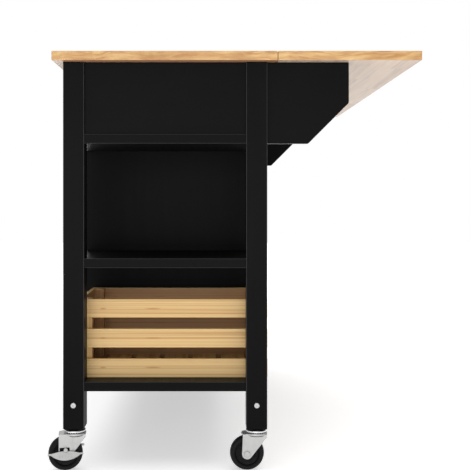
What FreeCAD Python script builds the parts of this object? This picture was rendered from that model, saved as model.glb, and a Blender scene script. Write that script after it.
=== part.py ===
import FreeCAD, Part
import math
import os

vec = FreeCAD.Vector

# Kitchen island cart, in millimetres. X runs along the cart, +X to its open end, -Y to its doors
# and drawers (the front), +Y to its drop leaf (the back), and Z runs up from the floor.

# Worktop and leaf
cart_height = 900.0
top_length = 1200.0
top_depth = 480.0
top_thickness = 20.0
leaf_depth = 305.0
leaf_seam = 1.0
end_overhang = 20.0
side_overhang = 21.0
top_easing = 1.5

# Frame
leg_size = 45.0
leg_easing = 1.5
foot_chamfer = 3.5
board_thickness = 20.0
panel_thickness = 18.0
board_easing = 1.0
board_setback = 7.0
lip_setback = 2.0
end_panel_setback = 7.0
front_setback = 4.0
apron_height = 155.0
top_rail_height = 18.0
stile_width = 20.0
base_top = 193.0
bay_shelf_top = 458.0
bay_depth = 292.0

# Cabinet
cabinet_shelf_top = 458.0
cabinet_shelf_gap = 1.0
cabinet_shelf_setback = 2.0
shelf_pin_radius = 2.5
shelf_pin_reach = 10.0
shelf_pin_depth = 8.0
shelf_pin_inset = 30.0
door_gap = 2.0
door_meeting_gap = 3.0
door_reveal = 3.0
door_rail = 58.0
door_panel_recess = 6.0
front_easing = 1.5
knob_radius = 14.0
knob_reach = 20.0
knob_inset = 29.0
knob_drop = 95.0

# Drawers
drawer_reveal = 3.0
drawer_wall = 12.0
drawer_box_height = 105.0
drawer_box_length = 355.0
drawer_bottom_thickness = 4.0
drawer_bottom_lift = 8.0
drawer_side_space = 14.0
runner_floor = 4.0
runner_wall = 4.0
runner_height = 22.0
runner_clear = 0.4

# Leaf brackets
bracket_width = 176.0
bracket_height = 175.0
bracket_thickness = 15.0
bracket_corner = 87.5
bracket_round = 6.0
bracket_top_clear = 0.5
bracket_leg_clear = 0.6

# Hinges
bracket_knuckle = 2.2
bracket_hinge_plate = 1.2
bracket_hinge_width = 17.0
bracket_hinge_clear = 0.3
leaf_knuckle = 3.0
leaf_hinge_plate = 1.6
leaf_hinge_width = 16.0
leaf_hinge_length = 60.0
leaf_hinge_clear = 0.2
leaf_hinge_spacing = 300.0
door_knuckle = 2.0
door_hinge_plate = 0.8
door_hinge_width = 24.0
door_hinge_length = 50.0
door_hinge_clear = 0.3
door_hinge_inset = 60.0
pin_share = 0.45
pin_clear = 0.05
knuckle_gap = 0.3

# Crate
crate_length = 419.0
crate_proud = 3.6
crate_leg_clear = 2.0
crate_wall_clear = 4.0
crate_rest_clear = 0.3
slat_height = 41.2
slat_gap = 24.6
slat_thickness = 10.0
slat_rows = 3
slat_easing = 1.2
crate_post = 22.0
crate_floor_slats = 5
crate_floor_gap = 12.0
crate_floor_thickness = 9.0

# Casters
wheel_radius = 37.0
wheel_half_width = 12.0
hub_half_width = 13.0
hub_radius = 10.0
web_half_width = 8.5
rim_inner_radius = 27.0
tread_edge_radius = 34.0
axle_radius = 4.0
axle_head_radius = 6.5
axle_head_height = 3.0
fork_plate = 2.5
fork_clear = 0.5
fork_nose_radius = 11.0
fork_bend = 3.0
fork_rear = 9.2
fork_front = 22.0
fork_cheek = 4.5
caster_trail = 20.3
crown_clear = 3.5
crown_tail = 3.2
race_radius = 24.0
lower_race_height = 4.5
race_gap = 2.3
upper_race_height = 3.4
upper_race_inset = 1.0
race_easing = 1.5
stem_washer_height = 2.3
stem_washer_radius = 15.0
stem_radius = 5.0
stem_length = 45.0
kingpin_radius = 8.0
kingpin_height = 2.6
running_clear = 0.05
socket_radius = 8.0
socket_length = 65.0
cross_bolt_lift = 53.5
cross_bolt_radius = 3.0
cross_bolt_length = 38.0
cross_bolt_head_radius = 6.0
cross_bolt_head_height = 3.3
hex_radius = 2.0
hex_depth = 1.8

# Brakes, on the two front casters
brake_plate = 2.5
brake_plate_half = 14.6
brake_plate_top = 1.3
brake_foot_lift = 7.8
brake_top_round = 13.0
brake_window_low = 1.8
brake_window_high = 23.2
brake_window_height = 8.0
brake_tab_reach = 20.5
brake_tab_height = 5.0
brake_tab_thickness = 2.0
brake_pivot_radius = 2.0
brake_pivot_lift = 11.5
brake_sleeve_radius = 4.2
brake_sleeve_length = 5.0
pedal_length = 66.0
pedal_back = 6.3
pedal_front = 14.2
pedal_drop = 3.0
horn_length = 76.0
horn_width = 3.0
pedal_thickness = 2.2
pedal_tilt = 48.0

# How far each caster is turned at rest, about its own stem, from trailing to the front
caster_turns = {"front_open": 10.0, "back_open": 0.0, "front_cabinet": 180.0, "back_cabinet": 0.0}
braked = ("front_open", "front_cabinet")

# Places that follow from the sizes, with Y counted from the frame's centreline
top_bottom = cart_height - top_thickness
frame_x = top_length / 2 - end_overhang
frame_y = top_depth / 2 - side_overhang
leg_in_x = frame_x - leg_size
leg_in_y = frame_y - leg_size
board_y = frame_y - board_setback
board_x = frame_x - lip_setback
deck_top = top_bottom - apron_height
deck_bottom = deck_top - board_thickness
base_bottom = base_top - board_thickness
partition_face = frame_x - bay_depth
partition_back = partition_face - panel_thickness
end_panel_x = frame_x - end_panel_setback
end_panel_in_x = end_panel_x - panel_thickness
front_face = -frame_y + front_setback
front_inner = front_face + panel_thickness
back_inner = board_y - panel_thickness
rail_bottom = top_bottom - top_rail_height
axle_z = wheel_radius
crown_bottom = 2 * wheel_radius + crown_clear
crown_top = crown_bottom + fork_plate
lower_race_top = crown_bottom + lower_race_height
upper_race_bottom = lower_race_top + race_gap
upper_race_top = upper_race_bottom + upper_race_height
leg_bottom = upper_race_top + stem_washer_height
leg_mid_x = frame_x - leg_size / 2
leg_mid_y = frame_y - leg_size / 2
fork_inner = hub_half_width + fork_clear
fork_outer = fork_inner + fork_plate
cross_bolt_z = leg_bottom + cross_bolt_lift
seam_y = top_depth / 2 + leaf_seam / 2
leaf_axis_z = top_bottom - leaf_knuckle - leaf_hinge_clear
bracket_out_x = end_panel_x
bracket_in_x = bracket_out_x - bracket_thickness
bracket_axis_x = bracket_in_x - bracket_knuckle - bracket_hinge_clear
bracket_axis_y = frame_y + bracket_knuckle + bracket_hinge_clear
bracket_top = top_bottom - bracket_top_clear
bracket_bottom = top_bottom - bracket_height
door_axis_y = -frame_y - door_knuckle - door_hinge_clear
door_bottom = base_top + door_reveal
door_top = deck_bottom - door_reveal
door_far_x = -leg_in_x + door_gap
door_near_x = partition_back - door_gap
door_width = (door_near_x - door_far_x - door_meeting_gap) / 2
drawer_bottom_z = deck_top + runner_floor + runner_clear
crate_x1 = leg_in_x - crate_leg_clear
crate_x0 = partition_face + crate_wall_clear
crate_y1 = frame_y + crate_proud
crate_y0 = crate_y1 - crate_length
crate_z0 = base_top + crate_rest_clear
crate_height = slat_rows * slat_height + (slat_rows - 1) * slat_gap

# The origin is under the middle of the whole cart, leaf included
lowest_y = -leg_mid_y - caster_trail - wheel_radius
highest_y = top_depth / 2 + leaf_seam + leaf_depth
centreline_y = -(lowest_y + highest_y) / 2

corners = {
    "front_open": (1, -1),
    "back_open": (1, 1),
    "front_cabinet": (-1, -1),
    "back_cabinet": (-1, 1),
}


def block(x0, x1, y0, y1, z0, z1):
    low = vec(min(x0, x1), min(y0, y1), min(z0, z1))
    return Part.makeBox(abs(x1 - x0), abs(y1 - y0), abs(z1 - z0), low)


def rod(radius, start, direction, length):
    return Part.makeCylinder(radius, length, start, direction)


def eased(shape, radius, wanted=None):
    edges = [edge for edge in shape.Edges if wanted is None or wanted(edge)]
    return shape.makeFillet(radius, edges)


def is_upright(edge):
    ends = [vertex.Point for vertex in edge.Vertexes]
    return len(ends) == 2 and abs(ends[0].z - ends[1].z) > 0.9 * edge.Length


def mirrored_x(shape):
    return shape.mirror(vec(0, 0, 0), vec(1, 0, 0))


def joined(shapes):
    whole = shapes[0]
    for shape in shapes[1:]:
        whole = whole.fuse(shape)
    return whole.removeSplitter()


# Worktop, leaf and frame


def worktop():
    slab = block(-top_length / 2, top_length / 2, -top_depth / 2, top_depth / 2, top_bottom, cart_height)
    return eased(slab, top_easing)


def leaf_board():
    near_y = top_depth / 2 + leaf_seam
    slab = block(-top_length / 2, top_length / 2, near_y, near_y + leaf_depth, top_bottom, cart_height)
    return eased(slab, top_easing)


def leg(side_x, side_y):
    x0 = side_x * leg_in_x
    x1 = side_x * frame_x
    y0 = side_y * leg_in_y
    y1 = side_y * frame_y
    post = block(x0, x1, y0, y1, leg_bottom, top_bottom)
    foot_edges = [edge for edge in post.Edges if edge.CenterOfMass.z < leg_bottom + 1]
    post = post.makeChamfer(foot_chamfer, foot_edges)
    post = eased(post, leg_easing, is_upright)
    mid = vec(side_x * leg_mid_x, side_y * leg_mid_y, leg_bottom)
    post = post.cut(rod(socket_radius + running_clear, mid, vec(0, 0, 1), socket_length))
    bolt_start = vec(side_x * frame_x, side_y * leg_mid_y, cross_bolt_z)
    inward = vec(-side_x, 0, 0)
    return post.cut(rod(cross_bolt_radius + running_clear, bolt_start, inward, cross_bolt_length + 2))


def notched_board(x0, x1, top, notched_sides):
    slab = block(x0, x1, -board_y, board_y, top - board_thickness, top)
    for side_x in notched_sides:
        for side_y in (-1, 1):
            notch = block(side_x * leg_in_x, side_x * (frame_x + 5), side_y * leg_in_y,
                          side_y * (frame_y + 5), top - board_thickness - 5, top + 5)
            slab = slab.cut(notch)

    def at_lip(edge):
        middle = edge.CenterOfMass
        return abs(abs(middle.x) - board_x) < 0.01 and not is_upright(edge)

    return eased(slab, board_easing, at_lip)


def end_panel(side_x):
    slab = block(side_x * end_panel_in_x, side_x * end_panel_x, -leg_in_y, leg_in_y, deck_top, top_bottom)
    return slab


def cabinet_side_panel():
    slab = block(-end_panel_x, -end_panel_in_x, -leg_in_y, leg_in_y, base_top, deck_bottom)
    return slab.cut(pin_holes(-end_panel_in_x, -1))


def bay_partition():
    slab = block(partition_back, partition_face, -board_y, board_y, base_top, deck_bottom)
    return slab.cut(pin_holes(partition_back, 1))


def pin_places(face_x, outward):
    pin_y = leg_in_y - cabinet_shelf_setback - shelf_pin_inset
    pin_z = cabinet_shelf_top - panel_thickness - shelf_pin_radius
    return [vec(face_x + outward * shelf_pin_depth, side_y * pin_y, pin_z) for side_y in (-1, 1)]


def pin_holes(face_x, outward):
    holes = [
        rod(shelf_pin_radius + running_clear, place, vec(-outward, 0, 0), shelf_pin_depth)
        for place in pin_places(face_x, outward)
    ]
    return Part.makeCompound(holes)


def shelf_pins():
    pins = []
    for face_x, outward in ((-end_panel_in_x, -1), (partition_back, 1)):
        for place in pin_places(face_x, outward):
            pins.append(rod(shelf_pin_radius, place, vec(-outward, 0, 0), shelf_pin_depth + shelf_pin_reach))
    return Part.makeCompound(pins)


def cabinet_shelf():
    x0 = -end_panel_in_x + cabinet_shelf_gap
    x1 = partition_back - cabinet_shelf_gap
    y1 = leg_in_y - cabinet_shelf_setback
    return block(x0, x1, -y1, y1, cabinet_shelf_top - panel_thickness, cabinet_shelf_top)


def back_rail():
    return block(-leg_in_x, leg_in_x, back_inner, board_y, deck_top, top_bottom)


def back_panel():
    return block(-leg_in_x, partition_back, back_inner, board_y, base_top, deck_bottom)


def front_top_rail():
    return block(-leg_in_x, leg_in_x, front_face, front_inner, rail_bottom, top_bottom)


def drawer_stile():
    return block(-stile_width / 2, stile_width / 2, front_face, front_inner, deck_top, rail_bottom)


# Hinges. Each is made about an upright axis through the origin: a leaf's plate runs along +X from the
# axis, between two distances from it, and its knuckles fill some of the hinge's equal spans.


def hinge_leaf(length, knuckle, plate, width, lift, spans, own):
    step = length / spans
    near = lift - plate
    body = block(0, width, near, lift, 0, length)
    for index in range(spans):
        z0 = index * step
        if index % 2 != own:
            body = body.cut(rod(knuckle + knuckle_gap, vec(0, 0, z0 - knuckle_gap / 2), vec(0, 0, 1),
                                step + knuckle_gap))
    for index in range(spans):
        if index % 2 == own:
            start = vec(0, 0, index * step + knuckle_gap / 2)
            body = body.fuse(rod(knuckle, start, vec(0, 0, 1), step - knuckle_gap))
    pin_hole = rod(pin_share * knuckle + pin_clear, vec(0, 0, -1), vec(0, 0, 1), length + 2)
    return body.cut(pin_hole).removeSplitter()


def hinge_pin(length, knuckle):
    return rod(pin_share * knuckle, vec(0, 0, 0), vec(0, 0, 1), length)


def posed(shape, axes, place):
    # The axes say where the shape's own X, Y and Z point. A left-handed set mirrors the shape first.
    x_to, y_to, z_to = axes
    turned = shape.copy()
    if x_to.cross(y_to).dot(z_to) < 0:
        turned = turned.mirror(vec(0, 0, 0), vec(0, 0, 1))
        z_to = z_to * -1
    matrix = FreeCAD.Matrix(
        x_to.x, y_to.x, z_to.x, place.x,
        x_to.y, y_to.y, z_to.y, place.y,
        x_to.z, y_to.z, z_to.z, place.z,
        0, 0, 0, 1)
    turned.transformShape(matrix, True)
    return turned


def leaf_hinge_places():
    half = leaf_hinge_length / 2
    return [vec(x - half, seam_y, leaf_axis_z) for x in (-leaf_hinge_spacing, 0, leaf_hinge_spacing)]


def leaf_hinges(toward_leaf):
    lift = leaf_knuckle + leaf_hinge_clear
    own = 1 if toward_leaf else 0
    side = 1 if toward_leaf else -1
    leaf = hinge_leaf(leaf_hinge_length, leaf_knuckle, leaf_hinge_plate, leaf_hinge_width, lift, 3, own)
    axes = (vec(0, side, 0), vec(0, 0, 1), vec(1, 0, 0))
    return Part.makeCompound([posed(leaf, axes, place) for place in leaf_hinge_places()])


def leaf_hinge_pins():
    radius = pin_share * leaf_knuckle
    pins = [rod(radius, place, vec(1, 0, 0), leaf_hinge_length) for place in leaf_hinge_places()]
    return Part.makeCompound(pins)


def bracket_hinge(on_bracket):
    length = bracket_height - 2 * board_easing - 10
    place = vec(bracket_axis_x, bracket_axis_y, bracket_bottom + 5)
    lift = bracket_knuckle + bracket_hinge_clear
    own = 1 if on_bracket else 0
    leaf = hinge_leaf(length, bracket_knuckle, bracket_hinge_plate, bracket_hinge_width, lift, 9, own)
    if on_bracket:
        axes = (vec(0, 1, 0), vec(1, 0, 0), vec(0, 0, 1))
    else:
        axes = (vec(-1, 0, 0), vec(0, -1, 0), vec(0, 0, 1))
    return posed(leaf, axes, place)


def bracket_hinge_fixed():
    length = bracket_height - 2 * board_easing - 10
    pin = hinge_pin(length, bracket_knuckle)
    pin.translate(vec(bracket_axis_x, bracket_axis_y, bracket_bottom + 5))
    near = [bracket_hinge(False), pin]
    return Part.makeCompound(near + [mirrored_x(shape) for shape in near])


def door_hinge_heights():
    return (door_bottom + door_hinge_inset, door_top - door_hinge_inset - door_hinge_length)


def door_hinge_leaf(on_door, height, at_cabinet_end):
    # A leaf of the hinge at the cabinet end's leg, turned round for the door on the partition.
    lift = door_gap / 2
    plate = door_hinge_plate
    own = 1 if on_door else 0
    leaf = hinge_leaf(door_hinge_length, door_knuckle, plate, door_hinge_width, lift, 5, own)
    toward = 1 if on_door else -1
    if not at_cabinet_end:
        toward = -toward
    axes = (vec(0, 1, 0), vec(toward, 0, 0), vec(0, 0, 1))
    x = -leg_in_x + lift if at_cabinet_end else partition_back - lift
    return posed(leaf, axes, vec(x, door_axis_y, height))


def door_hinges_fixed():
    pieces = []
    for at_cabinet_end in (True, False):
        x = -leg_in_x + door_gap / 2 if at_cabinet_end else partition_back - door_gap / 2
        for height in door_hinge_heights():
            pieces.append(door_hinge_leaf(False, height, at_cabinet_end))
            pin = hinge_pin(door_hinge_length, door_knuckle)
            pin.translate(vec(x, door_axis_y, height))
            pieces.append(pin)
    return Part.makeCompound(pieces)


def door_hinge_leaves(at_cabinet_end):
    return Part.makeCompound([door_hinge_leaf(True, z, at_cabinet_end) for z in door_hinge_heights()])


# Doors, drawers and their knobs


def front_slab(x0, x1, z0, z1, rail=None):
    # A plain front, or one with a sunk panel inside a border of the rail's width.
    slab = block(x0, x1, front_face, front_inner, z0, z1)
    if rail:
        slab = slab.cut(block(x0 + rail, x1 - rail, front_face - 1, front_face + door_panel_recess,
                              z0 + rail, z1 - rail))
    return eased(slab, front_easing, lambda edge: edge.CenterOfMass.y < front_face + 0.01)


def door_span(at_cabinet_end):
    if at_cabinet_end:
        return door_far_x, door_far_x + door_width
    return door_near_x - door_width, door_near_x


def knob(x, z):
    # Turned about its own axis: a slim neck that flares into a rounded cap.
    neck = 0.45 * knob_radius
    foot = 0.6 * knob_radius
    cap = knob_reach - 0.45 * knob_reach
    points = [
        vec(0, 0, 0), vec(foot, 0, 0), vec(foot, 0, 2), vec(neck, 0, 0.3 * knob_reach),
        vec(neck, 0, 0.4 * knob_reach), vec(knob_radius, 0, cap),
        vec(knob_radius, 0, cap + 0.2 * knob_reach),
    ]
    edges = [Part.LineSegment(a, b).toShape() for a, b in zip(points, points[1:])]
    crown_end = vec(0.35 * knob_radius, 0, knob_reach)
    crown = Part.Arc(points[-1], vec(0.8 * knob_radius, 0, knob_reach - 1.6), crown_end)
    edges.append(crown.toShape())
    edges.append(Part.LineSegment(crown_end, vec(0, 0, knob_reach)).toShape())
    edges.append(Part.LineSegment(vec(0, 0, knob_reach), points[0]).toShape())
    turned = Part.Face(Part.Wire(edges)).revolve(vec(0, 0, 0), vec(0, 0, 1), 360)
    turned.rotate(vec(0, 0, 0), vec(1, 0, 0), 90)
    turned.translate(vec(x, front_face, z))
    return turned


def drawer_span(side_x):
    inner = side_x * stile_width / 2
    outer = side_x * leg_in_x
    return min(inner, outer), max(inner, outer)


def drawer_front(side_x):
    x0, x1 = drawer_span(side_x)
    return front_slab(x0 + drawer_reveal, x1 - drawer_reveal, deck_top + drawer_reveal,
                      rail_bottom - drawer_reveal)


def drawer_walls(side_x):
    x0, x1 = drawer_span(side_x)
    x0 += drawer_side_space
    x1 -= drawer_side_space
    y1 = front_inner + drawer_box_length
    z1 = drawer_bottom_z + drawer_box_height
    outer = block(x0, x1, front_inner, y1, drawer_bottom_z, z1)
    inner = block(x0 + drawer_wall, x1 - drawer_wall, front_inner + drawer_wall, y1 - drawer_wall,
                  drawer_bottom_z - 1, z1 + 1)
    return outer.cut(inner)


def drawer_bottom(side_x):
    x0, x1 = drawer_span(side_x)
    inset = drawer_side_space + drawer_wall
    y0 = front_inner + drawer_wall
    y1 = front_inner + drawer_box_length - drawer_wall
    z0 = drawer_bottom_z + drawer_bottom_lift
    return block(x0 + inset, x1 - inset, y0, y1, z0, z0 + drawer_bottom_thickness)


def drawer_runners():
    runners = []
    y0 = front_inner + 2
    y1 = back_inner
    for side_x in (-1, 1):
        x0, x1 = drawer_span(side_x)
        for edge_x, inward in ((x0 + drawer_side_space, 1), (x1 - drawer_side_space, -1)):
            wall_in = edge_x - inward * runner_clear
            wall_out = wall_in - inward * runner_wall
            wall = block(wall_out, wall_in, y0, y1, deck_top, deck_top + runner_height)
            floor = block(wall_out, edge_x + inward * drawer_wall, y0, y1, deck_top, deck_top + runner_floor)
            runners.append(joined([wall, floor]))
    return Part.makeCompound(runners)


# Leaf brackets


def bracket():
    y0 = frame_y + bracket_leg_clear
    y1 = frame_y + bracket_width
    corner_low = vec(bracket_in_x, y1 - bracket_corner, bracket_bottom)
    corner_high = vec(bracket_in_x, y1, bracket_bottom + bracket_corner)
    points = [
        vec(bracket_in_x, y0, bracket_top), vec(bracket_in_x, y0, bracket_bottom),
        corner_low, corner_high, vec(bracket_in_x, y1, bracket_top),
    ]
    outline = Part.makePolygon(points + [points[0]])
    slab = Part.Face(outline).extrude(vec(bracket_thickness, 0, 0))

    def at_cut_corner(edge):
        middle = edge.CenterOfMass
        along_x = abs(edge.Length - bracket_thickness) < 0.01
        on_cut = min(middle.y - corner_low.y, corner_high.z - middle.z) > -0.01
        return along_x and on_cut and middle.z < bracket_top - 1

    rounded = eased(slab, bracket_round, at_cut_corner)
    return eased(rounded, board_easing, lambda edge: edge.CenterOfMass.z < bracket_top - 1
                 and abs(edge.CenterOfMass.x - bracket_in_x - bracket_thickness / 2) > bracket_thickness / 3
                 and edge.CenterOfMass.y > y0 + 1)


# Crate


def slat_heights():
    return [crate_z0 + row * (slat_height + slat_gap) for row in range(slat_rows)]


def crate_side_slats():
    slats = []
    for x0 in (crate_x0, crate_x1 - slat_thickness):
        for z0 in slat_heights():
            slat = block(x0, x0 + slat_thickness, crate_y0, crate_y1, z0, z0 + slat_height)
            slats.append(eased(slat, slat_easing))
    return Part.makeCompound(slats)


def crate_end_slats():
    slats = []
    for y0 in (crate_y0, crate_y1 - slat_thickness):
        for z0 in slat_heights():
            slat = block(crate_x0 + slat_thickness, crate_x1 - slat_thickness, y0, y0 + slat_thickness,
                         z0, z0 + slat_height)
            slats.append(eased(slat, slat_easing, lambda edge: not is_upright(edge)))
    return Part.makeCompound(slats)


def crate_posts():
    posts = []
    for x0 in (crate_x0 + slat_thickness, crate_x1 - slat_thickness - crate_post):
        for y0 in (crate_y0 + slat_thickness, crate_y1 - slat_thickness - crate_post):
            post = block(x0, x0 + crate_post, y0, y0 + crate_post, crate_z0, crate_z0 + crate_height)
            posts.append(eased(post, board_easing))
    return Part.makeCompound(posts)


def crate_floor():
    y0 = crate_y0 + slat_thickness + crate_post + crate_floor_gap
    y1 = crate_y1 - slat_thickness - crate_post - crate_floor_gap
    width = (y1 - y0 - (crate_floor_slats - 1) * crate_floor_gap) / crate_floor_slats
    slats = []
    for index in range(crate_floor_slats):
        low = y0 + index * (width + crate_floor_gap)
        slats.append(block(crate_x0 + slat_thickness, crate_x1 - slat_thickness, low, low + width,
                           crate_z0, crate_z0 + crate_floor_thickness))
    return Part.makeCompound(slats)


# Casters. Each is made about its stem, at the origin, with the axle along X and the wheel trailing to
# -Y, then turned to its rest angle and moved under its leg.


def under_leg(shape, name):
    side_x, side_y = corners[name]
    placed = shape.copy()
    placed.rotate(vec(0, 0, 0), vec(0, 0, 1), caster_turns[name])
    placed.translate(vec(side_x * leg_mid_x, side_y * leg_mid_y, 0))
    return placed


def caster_wheel():
    bore = axle_radius + running_clear
    points = [
        vec(-hub_half_width, 0, bore), vec(-hub_half_width, 0, hub_radius),
        vec(-web_half_width, 0, hub_radius + 1), vec(-web_half_width, 0, rim_inner_radius),
        vec(-wheel_half_width, 0, rim_inner_radius + 1.5), vec(-wheel_half_width, 0, tread_edge_radius),
    ]
    mirrored = [vec(-point.x, 0, point.z) for point in reversed(points)]
    edges = [Part.LineSegment(a, b).toShape() for a, b in zip(points, points[1:])]
    edges.append(Part.Arc(points[-1], vec(0, 0, wheel_radius), mirrored[0]).toShape())
    edges += [Part.LineSegment(a, b).toShape() for a, b in zip(mirrored, mirrored[1:])]
    edges.append(Part.LineSegment(mirrored[-1], points[0]).toShape())
    wheel = Part.Face(Part.Wire(edges)).revolve(vec(0, 0, 0), vec(1, 0, 0), 360)
    wheel.translate(vec(0, -caster_trail, axle_z))
    return wheel


def fork_outline():
    # A straight rear edge, a round nose about the axle, and a front edge from the nose up to the crown.
    low_cheek = vec(-fork_outer, fork_front, crown_bottom - fork_cheek)
    axle = vec(-fork_outer, -caster_trail, axle_z)
    reach = math.hypot(low_cheek.y - axle.y, low_cheek.z - axle.z)
    heading = math.atan2(low_cheek.z - axle.z, low_cheek.y - axle.y)
    turn = heading - math.acos(fork_nose_radius / reach)
    touch = axle + vec(0, math.cos(turn), math.sin(turn)) * fork_nose_radius
    rear_low = axle + vec(0, -fork_nose_radius, 0)
    nose = axle + vec(0, math.cos(math.radians(-100)), math.sin(math.radians(-100))) * fork_nose_radius
    rear_high = vec(-fork_outer, -caster_trail - fork_rear, crown_top)
    front_high = vec(-fork_outer, fork_front, crown_top)
    edges = [
        Part.LineSegment(rear_high, rear_low).toShape(),
        Part.Arc(rear_low, nose, touch).toShape(),
        Part.LineSegment(touch, low_cheek).toShape(),
        Part.LineSegment(low_cheek, front_high).toShape(),
        Part.LineSegment(front_high, rear_high).toShape(),
    ]
    return Part.Face(Part.Wire(edges)).extrude(vec(2 * fork_outer, 0, 0))


def caster_fork(with_brake):
    y0 = -caster_trail - fork_nose_radius - 1
    channel = block(-fork_outer, fork_outer, y0, fork_front + 1, 0, crown_top)
    channel = eased(channel, fork_bend, lambda edge: edge.CenterOfMass.z > crown_top - 0.01
                    and abs(edge.CenterOfMass.x) > fork_outer - 0.01)
    channel = channel.cut(block(-fork_inner, fork_inner, y0 - 1, fork_front + 2, -1, crown_bottom))
    fork = channel.common(fork_outline())
    race = rod(race_radius, vec(0, 0, crown_bottom), vec(0, 0, 1), lower_race_height)
    race = eased(race, race_easing, lambda edge: edge.CenterOfMass.z > crown_bottom + 1)
    fork = fork.fuse(race).fuse(crown_end())
    if with_brake:
        fork = fork.fuse(brake_mount())
    fork = fork.cut(rod(stem_radius + running_clear, vec(0, 0, 0), vec(0, 0, 1), leg_bottom))
    axle_start = vec(-fork_outer - 10, -caster_trail, axle_z)
    fork = fork.cut(rod(axle_radius + running_clear, axle_start, vec(1, 0, 0), 2 * fork_outer + 20))
    return fork.removeSplitter()


def crown_end():
    # The crown's rounded end over the wheel, a little past the cheeks.
    end_radius = fork_outer + fork_bend
    end_y = -caster_trail - fork_rear - crown_tail
    disc = rod(end_radius, vec(0, end_y + end_radius, crown_bottom), vec(0, 0, 1), fork_plate)
    return disc.common(block(-fork_outer, fork_outer, end_y, 0, crown_bottom, crown_top))


def brake_mount():
    # A plate on the outside of the fork, bent in over the crown, open at its foot between two flanges,
    # with the pedal's pivot in the opening and a short tab on the fork's other cheek.
    y0 = -caster_trail - brake_plate_half
    y1 = -caster_trail + brake_plate_half
    z0 = axle_z + brake_foot_lift
    z1 = crown_top + brake_plate_top
    out_x = fork_outer + brake_plate
    plate = block(fork_outer, out_x, y0, y1, z0, z1)
    plate = plate.cut(block(fork_outer - 1, out_x + 1, y0 + brake_window_low, y0 + brake_window_high,
                            z0 - 1, z0 + brake_window_height))
    flange = block(-fork_outer, out_x, y0, 0, crown_top, z1)
    flange = eased(flange, brake_top_round, lambda edge: is_upright(edge)
                   and edge.CenterOfMass.x < 0 and edge.CenterOfMass.y < y0 + 1)
    plate = eased(plate.fuse(flange).removeSplitter(), race_easing, lambda edge: not is_upright(edge)
                  and edge.CenterOfMass.x > out_x - 0.01 and edge.CenterOfMass.z > z1 - 0.01)
    pivot = rod(brake_pivot_radius, vec(fork_outer - 1, -caster_trail, pedal_axis_z()), vec(1, 0, 0),
                brake_plate + brake_sleeve_length + 2)
    tab = block(-fork_outer, -fork_outer + brake_tab_thickness, -caster_trail, brake_tab_reach,
                z0 + 1, z0 + 1 + brake_tab_height)
    return plate.fuse(pivot).fuse(tab)


def pedal_axis_z():
    return axle_z + brake_pivot_lift


def brake_pedal():
    # A lens-shaped plate with a thin horn at each end. It slopes down and out, and rocks on a sleeve.
    half_length = pedal_length / 2
    back_radius = (half_length ** 2 + pedal_back ** 2) / (2 * pedal_back)
    front_radius = (half_length ** 2 + pedal_front ** 2) / (2 * pedal_front)
    low_z = -pedal_thickness / 2
    back = Part.makeCylinder(back_radius, pedal_thickness, vec(back_radius, 0, low_z))
    front_x = pedal_back + pedal_front - front_radius
    front = Part.makeCylinder(front_radius, pedal_thickness, vec(front_x, 0, low_z))
    lens = eased(back.common(front), 0.6)
    horns = block(pedal_back - horn_width / 2, pedal_back + horn_width / 2, -horn_length / 2,
                  horn_length / 2, low_z + 0.2, -low_z - 0.2)
    horns = eased(horns, horn_width * 0.4, is_upright)
    lens = lens.fuse(horns)
    lens.rotate(vec(0, 0, 0), vec(0, 1, 0), pedal_tilt)
    sleeve_x = fork_outer + brake_plate + 0.5
    lens.translate(vec(sleeve_x + 1.5, -caster_trail, pedal_axis_z() - pedal_drop))
    centre = vec(sleeve_x, -caster_trail, pedal_axis_z())
    sleeve = rod(brake_sleeve_radius, centre, vec(1, 0, 0), brake_sleeve_length)
    pedal = lens.fuse(sleeve)
    bore = rod(brake_pivot_radius + running_clear, centre - vec(2, 0, 0), vec(1, 0, 0), horn_length)
    return pedal.cut(bore).removeSplitter()


def axle_bolt():
    start = vec(-fork_outer, -caster_trail, axle_z)
    shaft = rod(axle_radius, start, vec(1, 0, 0), 2 * fork_outer)
    pieces = [shaft]
    for side in (-1, 1):
        head_start = vec(side * fork_outer, -caster_trail, axle_z)
        head = rod(axle_head_radius, head_start, vec(side, 0, 0), axle_head_height)
        pieces.append(eased(head, 0.8, lambda edge: abs(edge.CenterOfMass.x) > fork_outer + 1))
    return joined(pieces)


def caster_stem():
    head = rod(kingpin_radius, vec(0, 0, crown_bottom - kingpin_height), vec(0, 0, 1),
               kingpin_height - 0.2)
    shaft = rod(stem_radius, vec(0, 0, crown_bottom - kingpin_height), vec(0, 0, 1),
                leg_bottom + stem_length - crown_bottom + kingpin_height)
    return joined([head, shaft])


def upper_race():
    radius = race_radius - upper_race_inset
    race = rod(radius, vec(0, 0, upper_race_bottom), vec(0, 0, 1), upper_race_height)
    race = eased(race, race_easing, lambda edge: edge.CenterOfMass.z > upper_race_bottom + 1)
    washer = rod(stem_washer_radius, vec(0, 0, upper_race_top), vec(0, 0, 1), stem_washer_height)
    stem_hole = rod(stem_radius + running_clear, vec(0, 0, 0), vec(0, 0, 1), cart_height)
    return joined([race, washer]).cut(stem_hole)


def stem_socket(name):
    side_x, side_y = corners[name]
    place = vec(side_x * leg_mid_x, side_y * leg_mid_y, leg_bottom)
    sleeve = rod(socket_radius, place, vec(0, 0, 1), socket_length)
    sleeve = sleeve.cut(rod(stem_radius + running_clear, place, vec(0, 0, 1), socket_length - 6))
    bolt_start = vec(side_x * frame_x, side_y * leg_mid_y, cross_bolt_z)
    return sleeve.cut(rod(cross_bolt_radius + running_clear, bolt_start, vec(-side_x, 0, 0), leg_size))


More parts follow.
